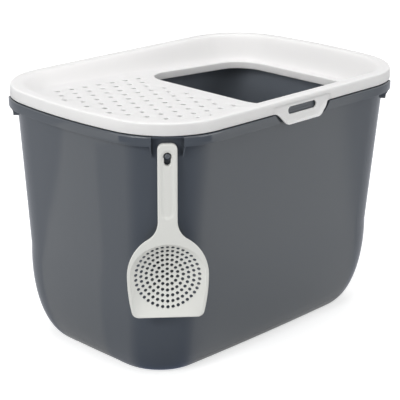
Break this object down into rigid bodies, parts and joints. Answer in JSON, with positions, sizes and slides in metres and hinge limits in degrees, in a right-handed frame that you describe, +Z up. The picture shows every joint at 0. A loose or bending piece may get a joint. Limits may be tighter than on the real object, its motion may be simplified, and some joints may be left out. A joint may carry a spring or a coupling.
{
  "type": "top entry litter box",
  "caption": "Deep tapered tub with a clip-on dished lid, which has a perforated tread and a large top entry opening, and a sifting scoop hung on a corner peg.",
  "frame": {"origin": "middle of the footprint, on the floor", "axes": "+Z up; +X along the length, from the perforated tread towards the entry opening; +Y across the width, away from the scoop's side"},
  "size_m": [0.585, 0.4071, 0.4015],
  "materials": {
    "tub_plastic": "slate grey moulded polypropylene, satin to gloss",
    "lid_plastic": "white moulded polypropylene, satin, with a fine grain on the tread",
    "scoop_plastic": "warm white moulded polypropylene, satin"
  },
  "bodies": {
    "tub": {"tub": "tub_plastic"},
    "lid": {"lid": "lid_plastic"},
    "latch_front": {"latch_front": "lid_plastic"},
    "latch_rear": {"latch_rear": "lid_plastic"},
    "scoop": {"scoop": "scoop_plastic"}
  },
  "joints": [
    {"name": "lid_lift", "type": "slide", "parent": "tub", "child": "lid", "axis": [0, 0, 1], "range_m": [0, 0.2]},
    {"name": "latch_front_flex", "type": "hinge", "parent": "lid", "child": "latch_front", "pos_m": [0, -0.1953, 0.3936], "axis": [-1, 0, 0], "range_deg": [0, 12], "stiffness_Nm_per_rad": 2},
    {"name": "latch_rear_flex", "type": "hinge", "parent": "lid", "child": "latch_rear", "pos_m": [0, 0.1953, 0.3936], "axis": [1, 0, 0], "range_deg": [0, 12], "stiffness_Nm_per_rad": 2},
    {"name": "scoop_pull", "type": "slide", "parent": "tub", "child": "scoop", "axis": [-0.6233, -0.7033, 0.342], "range_m": [0, 0.06]}
  ]
}
